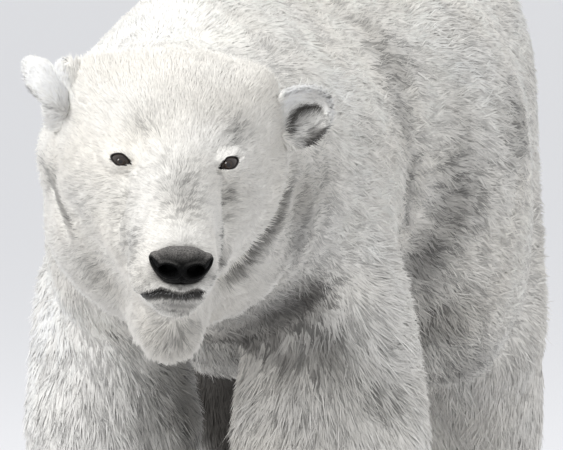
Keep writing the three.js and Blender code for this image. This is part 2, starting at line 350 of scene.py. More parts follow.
def by_solid(owner, table, default):
    """One number for each vertex, looked up by the first word of its solid's name that fits."""
    values = np.full(len(owner), default, dtype=float)
    for number, name in enumerate(FLESH):
        for key, value in table.items():
            if name.startswith(key) or name.endswith(key):
                values[owner == number] = value
    return values


owner = nearest_solid(points_of(skin))
print("vertices by solid:", {FLESH[n]: int((owner == n).sum()) for n in range(len(FLESH))})

# %% Relax the facets away and sink by the coat's depth
RELAXING = {"trunk": 1.0, "neck": 1.0, "_upper": 0.8, "_lower": 0.45, "_paw": 0.07,
            "head": 0.13, "ear": 0.03, "tail": 0.3}
COAT_DEPTH = {"trunk": 0.012, "neck": 0.010, "_upper": 0.012, "_lower": 0.009, "_paw": 0.004,
              "head": 0.005, "ear": 0.0015, "tail": 0.011}
RELAX_ROUNDS = 110
SOFTNESS_BLUR, GIRTH_BLUR, DEPTH_BLUR = 12, 60, 25  # rounds that smooth out each solid's border

links = Neighbours(skin)
faceted = points_of(skin)
softness = links.relax(by_solid(owner, RELAXING, 0.5), SOFTNESS_BLUR)
relaxed = links.relax(faceted, RELAX_ROUNDS, softness * 0.5)
move_points(skin, relaxed)
outward = normals_of(skin)
lost_girth = links.relax(((faceted - relaxed) * outward).sum(axis=1), GIRTH_BLUR)
depth = links.relax(by_solid(owner, COAT_DEPTH, 0.01), DEPTH_BLUR)
move_points(skin, relaxed + outward * (lost_girth - depth)[:, None])
print("girth put back, mm:", (lost_girth.min() * 1000).round(1), (lost_girth.max() * 1000).round(1))

# %% [markdown]
# ## Shaping the head
#
# The relaxed surface has the right masses but no features. Two small tools shape it in the
# head's axes. A push moves the skin near a place, most in the middle and less all round; a
# groove sinks it along a line. Either can work on both sides at once. They run from large to
# small: first cheeks, muzzle and brow, then, once the face is cut finer, the lips and the lids.

# %% Push and groove
def smooth(t):
    """A smooth rise from 0 to 1."""
    t = np.clip(t, 0, 1)
    return t * t * (3 - 2 * t)


def unit(vectors):
    """The same vectors, each one metre long."""
    return vectors / np.maximum(np.linalg.norm(vectors, axis=-1, keepdims=True), 1e-9)


def near(points, centre, radii):
    """1 at a place, and less all round it, to next to nothing at twice these radii."""
    return np.exp(-(((points - centre) / radii) ** 2).sum(axis=1))


def push(points, centre, radii, move, sides):
    """Moves the points round a place by up to this much; the same on each side asked for."""
    for side in sides:
        flip = np.array((side, 1, 1))
        points = points + near(points, centre * flip, radii)[:, None] * np.array(move) * flip
    return points


FAR = 9.0  # stands for anywhere far off


def from_line(points, line):
    """How far each point is from a line of several straight parts, and the nearest place on it."""
    nearest = np.full(len(points), FAR)
    where = np.zeros((len(points), 3))
    for start, end in zip(line[:-1], line[1:]):
        span = end - start
        share = np.clip((points - start) @ span / (span @ span), 0, 1)[:, None]
        spot = start + share * span
        gap = np.linalg.norm(points - spot, axis=1)
        closer = gap < nearest
        nearest[closer], where[closer] = gap[closer], spot[closer]
    return nearest, where


def groove(points, normals, line, width, depth, sides=(1,)):
    """Sinks the skin along a line; a negative depth raises a ridge. Side -1 mirrors the line."""
    for side in sides:
        gap, _ = from_line(points, line * np.array((side, 1, 1)))
        points = points - normals * (depth * np.exp(-((gap / width) ** 2)))[:, None]
    return points


def mm(*numbers):
    """Millimetres as metres: three numbers for a place, or places in brackets for a line."""
    return np.array(numbers) / 1000


CHEEK_EDGE = {  # where each cheek ends against the neck, on the left and on the right
    1: mm((158, 130, -50), (149, 88, -62), (140, 68, -74), (127, 50, -92),
          (116, 42, -105), (104, 36, -120), (91, 32, -135), (76, 27, -150)),
    -1: mm((-158, 207, -88), (-145, 162, -89), (-140, 143, -97), (-133, 125, -104),
           (-120, 103, -122)),
}
BEHIND_CHEEK = {  # the fold of fur just behind that edge
    1: mm((166, 150, -58), (158, 98, -78), (148, 76, -90), (134, 58, -108),
          (120, 48, -122), (106, 42, -137), (90, 38, -152), (72, 34, -166)),
    -1: mm((-160, 200, -94), (-151, 168, -96), (-146, 150, -106), (-140, 132, -114),
           (-126, 112, -132)),
}
CHEEK_RELIEF = {1: (0.008, 0.018), -1: (0.002, 0.009)}  # height of the edge, depth of the fold
CHEEK_WIDTH = 0.013
CHIN_FOLD = mm((-34, -146, -116), (0, -160, -128), (30, -148, -118))
MUZZLE_FOLD = mm((56, 8, -10), (66, -24, -44), (66, -42, -76), (60, -48, -112))
LEFT, RIGHT, BOTH = (1,), (-1,), (1, -1)
HEAD_PUSHES = (  # centre, radii and move in the head's axes, in millimetres, and the sides
    ((56, -104, -78), (26, 62, 40), (9, 0, 0), RIGHT),
    ((52, -130, -66), (24, 60, 36), (-4, 0, 0), LEFT),
    ((56, -80, -56), (24, 56, 30), (6.5, 0, 0), RIGHT),
    ((46, -160, -82), (20, 34, 24), (7, 0, -1), RIGHT),
    ((127, 60, -95), (24, 32, 22), (-8, 0, 0), RIGHT),
    ((73, 44, 22), (24, 18, 14), (0, -4, 6), BOTH),
    ((86, 34, -6), (24, 28, 28), (4, -7, 3), BOTH),
    ((48, 12, 10), (13, 16, 14), (-2, 3, -2), BOTH),
    ((0, 62, 46), (16, 46, 20), (0, 1, -3), LEFT),
    ((108, 168, 74), (36, 40, 34), (-4, 0, 9), RIGHT),
    ((118, 160, 40), (34, 40, 34), (6, -2, 10), LEFT),
    ((122, 160, 52), (34, 36, 30), (12, 4, 6), RIGHT),
    ((151, 245, -84), (44, 70, 26), (9, 0, 0), RIGHT),
    ((152, 190, -140), (30, 60, 32), (-7, 0, 0), RIGHT),
    ((154, 190, -58), (40, 60, 30), (6, 0, 0), RIGHT),
    ((172, 152, -112), (36, 44, 56), (-9, 9, -4), LEFT),
    ((50, -150, -98), (20, 50, 22), (-9, 0, 0), LEFT),
)
BODY_PUSHES = (  # the same in the scene's axes, in metres: inside of the left foreleg, inside of
    # the right one, and the right shoulder
    ((0.072, -0.342, 0.54), (0.06, 0.14, 0.12), (-0.008, 0, 0)),
    ((-0.07, -0.205, 0.48), (0.06, 0.14, 0.16), (0.018, 0, 0)),
    ((-0.215, -0.41, 0.79), (0.06, 0.16, 0.08), (0.011, 0, 0)),
)
NOSE_BED, NOSE_BED_RADII = mm(0, -190, -46), mm(52, 42, 38)  # where the nose will lie, kept plain

links = Neighbours(skin)
face = to_head(points_of(skin))
nose_bed = np.exp(-((np.linalg.norm((face - NOSE_BED) / NOSE_BED_RADII, axis=1)) ** 4))
face = links.relax(face, 24, nose_bed * 0.5)
for centre, radii, move, sides in HEAD_PUSHES:
    face = push(face, mm(*centre), mm(*radii), mm(*move), sides)
face_normals = normals_of(skin) @ HEAD
for side, (edge, fold) in CHEEK_RELIEF.items():
    face = groove(face, face_normals, CHEEK_EDGE[side], CHEEK_WIDTH, -edge)
    face = groove(face, face_normals, BEHIND_CHEEK[side], CHEEK_WIDTH, fold)
face = groove(face, face_normals, MUZZLE_FOLD, 0.011, 0.008, BOTH)
body = from_head(face)
for centre, radii, move in BODY_PUSHES:
    body = push(body, np.array(centre), radii, move, LEFT)
move_points(skin, body)
print("head shaped")

# %% [markdown]
# ## A finer face, a lighter body
#
# The remesh made faces of one size everywhere. Under long fur the trunk needs few of them, and
# the face needs many more: an eyelid is only two millimetres thick. So the trunk and the legs
# are thinned by a collapse, and the face is cut finer in steps that close in on the features.

# %% Choose faces by their place
def face_centres(piece):
    """The middle of every face of a mesh."""
    return read_rows(piece.data.polygons, "center", 3)


def choose_faces(piece, chosen):
    """Opens the mesh in edit mode with these faces selected and nothing else."""
    pick(piece)
    bpy.ops.object.mode_set(mode="EDIT")
    bpy.ops.mesh.select_mode(type="FACE")
    bpy.ops.mesh.select_all(action="DESELECT")
    bpy.ops.object.mode_set(mode="OBJECT")
    piece.data.polygons.foreach_set("select", chosen)
    bpy.ops.object.mode_set(mode="EDIT")


def leave_edit():
    """Back to object mode."""
    bpy.ops.object.mode_set(mode="OBJECT")


BODY_KEPT = 0.13
THINNED = ("trunk", "tail", "neck")
body_faces = np.array([
    FLESH[n].endswith(("_upper", "_lower")) or FLESH[n] in THINNED for n in owner
])
first_corner = np.array([p.vertices[0] for p in skin.data.polygons])
choose_faces(skin, body_faces[first_corner])
bpy.ops.mesh.decimate(ratio=BODY_KEPT)
leave_edit()
print("lighter body:", len(skin.data.polygons), "faces")

# %% Cut the face finer
FINER = (  # centre and radii in head axes: the whole face, eyes and muzzle, lids and lips, lids
    [mm((0, 40, -30), (200, 250, 180))],
    [mm((69, 20, -2), (34, 40, 32)), mm((-69, 20, -2), (34, 40, 32)), mm((0, -170, -76), (75, 75, 60))],
    [mm((69, 16, -2), (23, 34, 18)), mm((-69, 16, -2), (23, 34, 18)), mm((0, -190, -84), (50, 44, 14))],
    [mm((69, 16, -2), (16, 30, 12)), mm((-69, 16, -2), (16, 30, 12))],
)


def inside(points, balls):
    """Which points lie in any of these ellipsoids."""
    hit = np.zeros(len(points), dtype=bool)
    for centre, radii in balls:
        hit |= ((((points - centre) / radii) ** 2).sum(axis=1) < 1)
    return hit


for balls in FINER:
    choose_faces(skin, inside(to_head(face_centres(skin)), balls))
    bpy.ops.mesh.subdivide(number_cuts=1, smoothness=0.0)
    leave_edit()
    print("finer face:", len(skin.data.polygons), "faces")

# %% [markdown]
# ## Lips
#
# The line of the mouth runs round the front of the muzzle. It droops to its right corner and
# ends sooner on the left. The skin dips along it, and the upper lip swells a little above it, so
# that it overhangs the lower. A short furrow joins the nose to the lip.

# %% Lips
MOUTH = (  # its right half, then its left, which ends sooner
    mm((0, -198, -82), (-10, -197, -80), (-24, -194, -77), (-38, -186, -84),
       (-47, -166, -95), (-52, -134, -108), (-54, -112, -115)),
    mm((0, -198, -82), (10, -197, -80), (20, -195, -77), (27, -190, -80)),
)
LIP_RELIEF = (  # millimetres above the line of the mouth, width and depth: swell, hollow, slit
    (7, 0.0065, -0.0020), (-5.5, 0.006, 0.0012), (0, 0.0022, 0.0034),
)
FURROW = mm((0, -189, -68), (0, -194, -72), (0, -197.5, -75), (0, -198, -82))

face = to_head(points_of(skin))
face_normals = normals_of(skin) @ HEAD
face = groove(face, face_normals, CHIN_FOLD, 0.007, 0.004)
for half in MOUTH:
    for above, width, sunk in LIP_RELIEF:
        face = groove(face, face_normals, half + mm(0, 0, above), width, sunk)
face = groove(face, face_normals, FURROW, 0.0018, 0.0024)

# %% [markdown]
# ## Eyelids
#
# Around each eye the skin is set by height above the plane of the lids. Over the ball it follows
# the ball itself: outside the slit it lies nearly two millimetres above it, at the slit it dips
# into it, and inside it hides below, so the edge of the lid is the line where skin meets ball.
# Farther out the lid blends into the brow and the cheek. The slit is an almond: a curve of power
# less than two, which comes to a point at both corners, wider above than below.

# %% Eyelids
EYE_RADIUS = 0.013
SLIT_HALF, SLIT_ABOVE, SLIT_BELOW, SLIT_POWER = 0.0128, 0.0074, 0.0070, 1.45
SLIT_SHIFT = mm(-1.2, -2.4, 0)  # the slit's middle from the ball's, along the slit and up
EYES = {1: "eye_left", -1: "eye_right"}
LID_AXIS = {1: (0.33, -0.80, 0.50), -1: (-0.33, -0.80, 0.50)}
SLIT_WAY = {1: (0.825, 0.502, 0.259), -1: (-0.875, 0.458, 0.156)}  # from the inner corner out


def lid_axes(side):
    """The middle of an eye, and the three axes of its lids: along the slit, up and outwards."""
    centre = to_head(middle(EYES[side]))
    out = np.array(LID_AXIS[side]) / np.linalg.norm(LID_AXIS[side])
    along = np.array(SLIT_WAY[side]) - out * (out @ np.array(SLIT_WAY[side]))
    along /= np.linalg.norm(along)
    up = np.cross(out, along) * -side
    return centre, along, up, out


def slit_reach(points, side):
    """0 in the middle of the eye's slit, 1 at its edge, more outside, and FAR off the eye; and the
    place along the slit, up and outwards."""
    centre, along, up, out = lid_axes(side)
    away = points - centre
    u, v = away @ along - SLIT_SHIFT[0], away @ up - SLIT_SHIFT[1]
    w = away @ out
    half = np.where(v > 0, SLIT_ABOVE, SLIT_BELOW)
    reach = (np.abs(u / SLIT_HALF) ** SLIT_POWER + np.abs(v / half) ** SLIT_POWER) ** (1 / SLIT_POWER)
    return np.where((np.hypot(u, v) < 0.04) & (np.abs(w) < 0.035), reach, FAR), u, v, w


LID_EDGE, LID_END = 1.16, 3.1  # where the lid ends at the slit and where it blends away, by reach
LID_START, LID_LEVEL = 0.8, LID_EDGE + 0.04  # between these the lid rises out of the ball
LID_SUNK, LID_RISE = 0.003, 0.0048
LID_RIM = 0.0007, 1.28, 0.12  # height, reach and width of the swollen rim
LID_CREASE = 0.0009, 1.66, 0.14  # depth, reach and width of the fold behind it
LOWER_CREASE = 0.4  # how much of that fold the lower lid has


def ripple(values, relief):
    """A bump of some height round one value, with some width."""
    height, at, width = relief
    return height * np.exp(-(((values - at) / width) ** 2))


for side in BOTH:
    centre, along, up, out = lid_axes(side)
    reach, u, v, w = slit_reach(face, side)
    by_eye = reach < LID_END
    height = -LID_SUNK + LID_RISE * smooth((reach - LID_START) / (LID_LEVEL - LID_START))
    shrink = np.minimum(1, LID_EDGE / np.maximum(reach, 1e-6))
    flat = (u * shrink + SLIT_SHIFT[0]) ** 2 + (v * shrink + SLIT_SHIFT[1]) ** 2
    on_ball = np.sqrt(np.maximum((EYE_RADIUS + height) ** 2 - flat, 0.004 ** 2))
    blend = smooth((reach - LID_EDGE) / (LID_END - LID_EDGE))
    folds = ripple(reach, LID_RIM) - ripple(reach, LID_CREASE) * np.where(v > 0, 1, LOWER_CREASE)
    target = on_ball * (1 - blend) + w * blend + folds
    face[by_eye] += ((target - w)[:, None] * out)[by_eye]
move_points(skin, from_head(face))
print("lids and lips done")

# %% [markdown]
# ## Ears
#
# Each ear is a thick, nearly round leaf with a bowl pressed into its front. It starts as a ball,
# is shaped in its own axes, and is then welded into the skin by a union, so that the skin stays
# one closed surface. The right ear stands clear of the head, so a plain ball fills its root.

# %% Ears
EAR_HALF = mm(38, 13, 43)  # half width, half thickness, half length
EARS = {  # middle, way to the tip and way the bowl faces, in head axes
    "ear_left": (mm(167, 158, 16), (0.86, 0.09, 0.50), (-0.02, -1.0, 0.06)),
    "ear_right": (mm(-156, 160, 44), (-0.536, 0.603, 0.586), (-0.80, 0.0, -0.64)),
}


def leaf(ball):
    """Turns a ball one metre in radius into an ear: x across, y towards its back, z to its tip."""
    x, y, z = ball.T
    from_axis = np.hypot(x, z)
    bowl = np.clip(1 - (np.hypot(x, z - 0.06) / 0.84) ** 2, 0, 1)
    shaped = np.stack([x * (1 - 0.06 * z), y, z], axis=1) * EAR_HALF
    shaped[:, 1] += np.where(y < 0, 0.024 * bowl ** 0.7, 0.004 * bowl)
    shaped[:, 1] -= 0.010 * x ** 2 + 0.004 * from_axis ** 4
    return shaped


def ear_axes(name):
    """The middle of an ear, and the ways across it, out of its bowl and to its tip."""
    centre, tip_way, facing = EARS[name]
    tip = unit(np.array(tip_way))
    front = unit(np.array(facing) - tip * (tip @ np.array(facing)))
    return centre, np.cross(-front, tip), front, tip


def settle_order(ball):
    """Lists a new ball's faces in a fixed order. They come in another order on each run, and a
    union would hand that on to the skin, and the skin to the places of the hairs."""
    rings = sorted((tuple(face.vertices), tuple(face.loop_indices)) for face in ball.data.polygons)
    spots = read_rows(ball.data.uv_layers.active.data, "uv", 2)
    settled = bpy.data.meshes.new(ball.name)
    settled.from_pydata(points_of(ball), [], [vertices for vertices, _ in rings])
    corner_order = [corner for _, ring in rings for corner in ring]
    settled.uv_layers.new(name="UVMap").data.foreach_set("uv", spots[corner_order].ravel())
    ball.data = settled


def weld(name, shape):
    """Adds a ball, given this shape in head axes, to the skin."""
    deselect()
    bpy.ops.mesh.primitive_uv_sphere_add(segments=64, ring_count=44, radius=1)
    ball = bpy.context.object
    settle_order(ball)
    move_points(ball, from_head(shape(points_of(ball))))
    union = skin.modifiers.new("weld_" + name, "BOOLEAN")
    union.operation = "UNION"
    union.object = ball
    pick(skin)
    bpy.ops.object.modifier_apply(modifier=union.name)
    bpy.data.objects.remove(ball)
    print(name, "welded:", len(skin.data.polygons), "faces")


weld("ear_root", lambda ball: ball * mm(29, 24, 50) + mm(-136, 163, 26))
for name in EARS:
    centre, across, front, tip = ear_axes(name)
    weld(name, lambda ball: leaf(ball) @ np.stack([across, -front, tip]) + centre)

pick(skin)
bpy.ops.object.mode_set(mode="EDIT")
bpy.ops.mesh.select_all(action="SELECT")
bpy.ops.mesh.quads_convert_to_tris()
leave_edit()
print("triangles:", len(skin.data.polygons))

# %% [markdown]
# ## Nose
#
# The leather of the nose is a ball whose outline, seen from the front, is drawn as a ring of
# points: a nearly flat top with raised wings and a lower edge that runs down to the furrow.
# The front is flattened and the top sloped; then the nostrils are sunk, each with the slit that
# runs out from it round the wing, and a shallow furrow parts them. The grain is a bump of small
# cells, as on real leather. Its front is damp in patches; its top, which faces up into the light,
# is painted grey in specks, as painted light.

# %% Nose outline
NOSE_RING = (  # degrees round the nose from its left wing over the top, and the reach there, mm
    (0, 39.0), (9, 41.0), (16, 40.0), (25, 34.0), (38, 30.5), (52, 28.0), (70, 25.0), (90, 23.5),
    (110, 25.0), (128, 28.0), (142, 30.5), (155, 34.0), (164, 40.0), (171, 41.0), (180, 39.0),
    (200, 34.0), (220, 29.5), (240, 24.0), (256, 21.5), (270, 21.5), (284, 21.5), (300, 24.0),
    (320, 29.5), (340, 34.0), (360, 39.0),
)
NOSE_MIDDLE = mm(0, -189, -46)
NOSE_FRONT, NOSE_BACK = 0.022, 0.024
NOSTRIL = mm(16.5, 0, 1.5)
NOSTRIL_HALF = mm(10.5, 1, 7.8)


def nose_shape(ball):
    """Turns a ball one metre in radius into the nose pad, in the head's axes."""
    x, y, z = ball.T
    around = np.degrees(np.arctan2(z, x)) % 360
    reach = np.interp(around, *np.array(NOSE_RING).T) / 1000
    spread = np.hypot(x, z) ** 0.86
    turn = np.radians(around)
    shaped = np.stack([np.cos(turn) * reach * spread,
                       np.where(y < 0, NOSE_FRONT, NOSE_BACK) * y,
                       np.sin(turn) * reach * spread], axis=1)
    shaped[:, 1] += 0.34 * np.clip(shaped[:, 2] - 0.004, 0, 1) - 0.10 * shaped[:, 2]
    shaped[:, 1] += 7 * shaped[:, 0] ** 2
    front = smooth((-y - 0.1) / 0.3)
    for side in (1, -1):
        away = (shaped - NOSTRIL * (side, 1, 1)) / NOSTRIL_HALF
        tilt = away[:, 0] * side * 0.9 + away[:, 2] * 0.35, away[:, 2] - away[:, 0] * side * 0.25
        bowl = np.clip(1.25 - tilt[0] ** 2 - tilt[1] ** 2, 0, 1)
        shaped[:, 1] += front * 0.017 * smooth(bowl * 1.5)
        rim = np.exp(-((np.hypot(*tilt) - 1.35) / 0.22) ** 2)
        shaped[:, 1] -= front * 0.0016 * rim
        slit = [mm(side * 22, -10, -3), mm(side * 30, -4, -1), mm(side * 37, 4, 6)]
        gap, _ = from_line(shaped * (1, 0, 1), np.array(slit) * (1, 0, 1))
        shaped[:, 1] += front * 0.006 * np.exp(-((gap / 0.0024) ** 2))
    middle_line = np.exp(-((shaped[:, 0] / 0.0022) ** 2)) * smooth((-shaped[:, 2] + 0.004) / 0.012)
    shaped[:, 1] += front * 0.0035 * middle_line
    dip = np.exp(-((shaped[:, 0] / 0.008) ** 2)) * smooth(shaped[:, 2] / 0.02)
    shaped[:, 1] += 0.002 * dip * front
    return shaped + NOSE_MIDDLE


# %% Nose
deselect()
bpy.ops.mesh.primitive_uv_sphere_add(segments=160, ring_count=110, radius=1,
                                     rotation=(math.pi / 2, 0, 0))
nose = bpy.context.object
nose.name = "nose_pad"
bpy.ops.object.transform_apply(location=True, rotation=True, scale=True)
settle_order(nose)
move_points(nose, from_head(nose_shape(points_of(nose))))
pick(nose)
bpy.ops.object.shade_smooth()

LEATHER = (0.002, 0.002, 0.002)
# the grey painted on the top of the nose as painted light
LIT_TOP_GREY = (0.19, 0.18, 0.17)
leather = plain_material("nose_leather", LEATHER, 0.5)
place = wired(leather, "TexCoord", "Object")
cells = wired(leather, "TexVoronoi", "Distance", {"Vector": place, "Scale": 520}, feature="SMOOTH_F1")
bump = wired(leather, "Bump", "Normal", {"Height": cells, "Distance": 0.0014, "Strength": 1.0})
patches = wired(leather, "TexNoise", "Fac", {"Vector": place, "Scale": 60})
damp = wired(leather, "MapRange", "Result", {"Value": patches, "To Min": 0.35, "To Max": 0.62})
# painted light: where the nose faces up, at its top, it is painted grey in specks
facing_way = wired(leather, "NewGeometry", "Normal")
facing_up = wired(leather, "SeparateXYZ", "Z", {"Vector": facing_way})
lit_facing = wired(leather, "MapRange", "Result", {"Value": facing_up, "From Min": 0.35, "From Max": 0.8})
height = wired(leather, "SeparateXYZ", "Z", {"Vector": place})
on_top = wired(leather, "MapRange", "Result", {
    "Value": height,
    "From Min": from_head(NOSE_MIDDLE + mm(0, 0, 1))[2],
    "From Max": from_head(NOSE_MIDDLE + mm(0, 0, 12))[2],
})
lit_top = wired(leather, "Math", "Value", {0: lit_facing, 1: on_top}, operation="MULTIPLY")
specks = wired(leather, "TexNoise", "Fac", {"Vector": place, "Scale": 700, "Detail": 3})
worn = wired(leather, "MapRange", "Result", {
    "Value": specks, "From Min": 0.35, "From Max": 0.65, "To Min": 0.25,
})
top_light_share = wired(leather, "Math", "Value", {0: lit_top, 1: worn}, operation="MULTIPLY")
colour = wired(leather, "Mix", "Result", {
    "Factor": top_light_share, "A": (*LEATHER, 1), "B": (*LIT_TOP_GREY, 1),
}, data_type="RGBA")
finish_of(leather, {
    "Base Color": colour, "Roughness": damp, "Normal": bump, "Specular IOR Level": 0.05,
})
nose.data.materials.append(leather)
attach(nose, "root")
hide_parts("nose")
print("nose:", len(nose.data.polygons), "faces")

# %% [markdown]
# ## Eyes
#
# An eye is a ball of the solid's size with a slight swell, the cornea, over the iris. It is
# turned so that it looks where the head faces. Its colours are rings about the line of sight:
# a black pupil, a brown iris with darker rim and fine spokes, and a dark white of the eye.

# %% Eyes
SIGHT = np.array((-0.07, -0.90, 0.42))
SIGHT /= np.linalg.norm(SIGHT)


EYE_RINGS = (  # centimetres from the line of sight, and colour: pupil, iris, its rim, white
    (0.0, (0.004, 0.004, 0.004)), (0.27, (0.004, 0.004, 0.004)), (0.31, (0.018, 0.011, 0.007)),
    (0.50, (0.026, 0.016, 0.010)), (0.66, (0.014, 0.009, 0.006)), (0.74, (0.008, 0.006, 0.005)),
    (0.86, (0.035, 0.028, 0.024)),
)
CORNEA_SWELL = 0.045


def ring_material(name, centre):
    """The colours of an eye as rings about its line of sight, which meets the ball at centre."""
    material = plain_material(name, (0.02, 0.013, 0.01), 0.04)
    place = wired(material, "TexCoord", "Object")
    away = wired(material, "VectorMath", "Value", {0: place, 1: centre}, operation="DISTANCE")
    away_cm = wired(material, "Math", "Value", {0: away, 1: 100.0}, operation="MULTIPLY")
    spokes = wired(material, "TexNoise", "Fac", {"Vector": place, "Scale": 900})
    ring = wired(material, "Math", "Value", {0: spokes, 1: 0.12, 2: away_cm},
                 operation="MULTIPLY_ADD")
    finish_of(material, {
        "Base Color": colour_ramp(material, ring, EYE_RINGS),
        "IOR": 1.38, "Coat Weight": 0.4, "Coat Roughness": 0.02,
    })
    return material


for side, name in EYES.items():
    deselect()
    bpy.ops.mesh.primitive_uv_sphere_add(segments=64, ring_count=48, radius=EYE_RADIUS)
    eye = bpy.context.object
    eye.name = name + "_ball"
    settle_order(eye)
    ball = points_of(eye)
    facing = np.clip(unit(ball) @ SIGHT, 0, 1)
    ball = ball * (1 + CORNEA_SWELL * smooth((facing - 0.86) / 0.12))[:, None]
    centre = to_head(middle(name))
    move_points(eye, from_head(ball + centre))
    pick(eye)
    bpy.ops.object.shade_smooth()
    sight_meets = from_head(centre + SIGHT * EYE_RADIUS * (1 + CORNEA_SWELL))
    eye.data.materials.append(ring_material(name + "_glass", tuple(sight_meets)))
    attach(eye, "root")
    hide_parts(name)
    print(eye.name, len(eye.data.polygons), "faces")

# %% [markdown]
# ## Claws
#
# The claws keep the solids' shape. They need only the look of horn: nearly black, with fine
# paler streaks.

# %% Claws
horn = plain_material("claw_horn", (0.03, 0.026, 0.022), 0.38)
place = wired(horn, "TexCoord", "Object")
drawn_out = wired(horn, "Mapping", "Vector", {"Vector": place, "Scale": (1, 0.12, 0.4)})
streaks = wired(horn, "TexNoise", "Fac", {"Vector": drawn_out, "Scale": 260, "Detail": 3})
finish_of(horn, {
    "Base Color": colour_ramp(horn, streaks, (
        (0.35, (0.014, 0.012, 0.011)), (0.75, (0.09, 0.075, 0.06)),
    )),
    "Normal": wired(horn, "Bump", "Normal", {"Height": streaks, "Distance": 0.0004, "Strength": 0.5}),
})
for name, node in frame["nodes"].items():
    if "claw" in name:
        node.data.materials.clear()
        node.data.materials.append(horn)
print("claws:", sum("claw" in name for name in frame["nodes"]))

# %% [markdown]
# ## The lie of the coat
#
# Every hair leans some way. On the face the hairs part along the bridge of the nose and run
# from it over the brow, the cheeks and the jaw, and they fan out round each eye and up each ear;
# on the trunk they run back to the tail, and on the lower limbs down to the feet. Where the skin
# faces forwards, on the chest and the front of the legs, they hang down. Length and breadth
# change in the same gradual way, so each is set for each solid, or by a rule in the head's
# axes, and then averaged over the skin until no border is left between one part and the next.

# %% Which way the hairs lean
def along_surface(vectors, normals):
    """Vectors laid flat on the skin and made one metre long."""
    return unit(vectors - normals * (vectors * normals).sum(axis=1, keepdims=True))


def ramp(values, low, high):
    """0 below low, 1 above high, and a smooth rise between."""
    return smooth((values - low) / (high - low))


def waves(points, length, seed, count=9):
    """A smooth random value from about -1 to 1 that changes over this distance."""
    dice = np.random.default_rng(seed)
    ways = unit(dice.normal(size=(count, 3))) * (2 * math.pi / length)
    ways *= dice.uniform(0.6, 1.6, size=(count, 1))
    phases = dice.uniform(0, 2 * math.pi, size=count)
    return np.sin(points @ ways.T + phases).sum(axis=1) / math.sqrt(count / 2) * 0.6


BRIDGE_TIP, BRIDGE_ROOT = mm(0, -165, -30), mm(0, 5, 0)


def from_bridge(q):
    """Which way the hairs of the head run: away from the bridge of the nose, and backwards."""
    span = BRIDGE_ROOT - BRIDGE_TIP
    share = np.clip((q - BRIDGE_TIP) @ span / (span @ span), 0, 1)[:, None]
    away = unit(q - (BRIDGE_TIP + share * span))
    return away + np.array((0, 0.75, 0))


places = points_of(skin)
outward = normals_of(skin)
links = Neighbours(skin)
owner = nearest_solid(places)
on_head = to_head(places)
is_mine = {name: owner == number for number, name in enumerate(FLESH)}

LEAN = {"trunk": (0, 1, -0.22), "neck": (0, 1, -0.25), "_upper": (0, 1, -0.3),
        "_lower": (0, 0.3, -1), "_paw": (0, -1, -0.35), "tail": (0, 0.6, -0.8)}
lean = np.zeros((len(places), 3))
for name, mine in is_mine.items():
    for key, way in LEAN.items():
        if name.startswith(key) or name.endswith(key):
            lean[mine] = way
    if name == "head":
        lean[mine] = from_bridge(on_head[mine]) @ HEAD.T
rump = ramp(places[:, 1], 0.7, 1.0) * is_mine["trunk"]
lean += rump[:, None] * np.array((0, -0.6, -1.0))
frontal = ramp(-outward[:, 1], 0.35, 0.8) * ~is_mine["head"]
lean += frontal[:, None] * np.array((0, 0, -1.2))
lean = links.relax(along_surface(lean, outward), 16)

# %% Round the eyes and on the ears
lid_reach = np.full(len(places), FAR)
for side in EYES:
    reach = slit_reach(on_head, side)[0]
    radial = unit(on_head - lid_axes(side)[0]) @ HEAD.T
    pull = 0.7 * (1 - ramp(reach, 1.4, 3.0))
    lean += radial * (pull * (reach < FAR))[:, None]
    lid_reach = np.minimum(lid_reach, reach)

bowl_shade = {}
ear_part = np.zeros(len(places), dtype=bool)
for name in EARS:
    centre, across, front, tip = ear_axes(name)
    away = on_head - centre
    x, y, z = away @ across / EAR_HALF[0], away @ front, away @ tip / EAR_HALF[2]
    is_ear = (np.hypot(x, z) < 1.08) & (np.abs(y) < 0.03) & (is_mine[name] | (z > -0.3))
    ear_part |= is_ear
    fan = unit(away + tip * EAR_HALF[2] * 1.1) @ HEAD.T
    lean[is_ear] = fan[is_ear]
    # painted shade in each ear's bowl, where it faces forwards, and along its fold
    facing = ramp((outward @ HEAD) @ front, 0.1, 0.6)
    fold = x * 38 - 2 - 30 * (z - 0.05) ** 2  # millimetres from the curved fold in the bowl
    shadow = np.exp(-((fold / 6) ** 2)) + 0.35 * ramp(fold, 0, 8) + 0.5 * ramp(fold, 20, 27)
    bowl_shade[name] = is_ear * facing * shadow * (1 - ramp(np.abs(z), 0.5, 0.75))
lean = along_surface(links.relax(lean, 3), outward)
print("vertices on the ears:", int(ear_part.sum()))

# %% Length, breadth and where no hair grows
LENGTH = {"trunk": 0.034, "neck": 0.030, "_upper": 0.038, "_lower": 0.030, "_paw": 0.014,
          "head": 0.014, "ear": 0.012, "tail": 0.038}
BREADTH = {"trunk": 0.0034, "neck": 0.0028, "_upper": 0.0036, "_lower": 0.0032,
           "_paw": 0.0024, "head": 0.0018, "ear": 0.0017, "tail": 0.0038}
length = by_solid(owner, LENGTH, 0.03)
breadth = by_solid(owner, BREADTH, 0.004)
head_part = is_mine["head"] & ~ear_part
muzzle = 1 - ramp(on_head[:, 1], -0.13, 0.03)
back_head = ramp(on_head[:, 1], 0.08, 0.26)
throat = ramp(-on_head[:, 2], 0.14, 0.22) * ramp(on_head[:, 1], -0.12, -0.04)
length[head_part] *= (1 - 0.48 * muzzle + 0.75 * back_head + 0.9 * throat)[head_part]
breadth[head_part] *= (1 - 0.22 * muzzle + 0.45 * back_head + 0.2 * throat)[head_part]
under = ramp(-outward[:, 2], 0.1, 0.8)
length *= 1 + 0.35 * under * ~is_mine["head"]
length[ear_part], breadth[ear_part] = LENGTH["ear"], BREADTH["ear"]
length = links.relax(length, 8)
breadth = links.relax(breadth, 8)

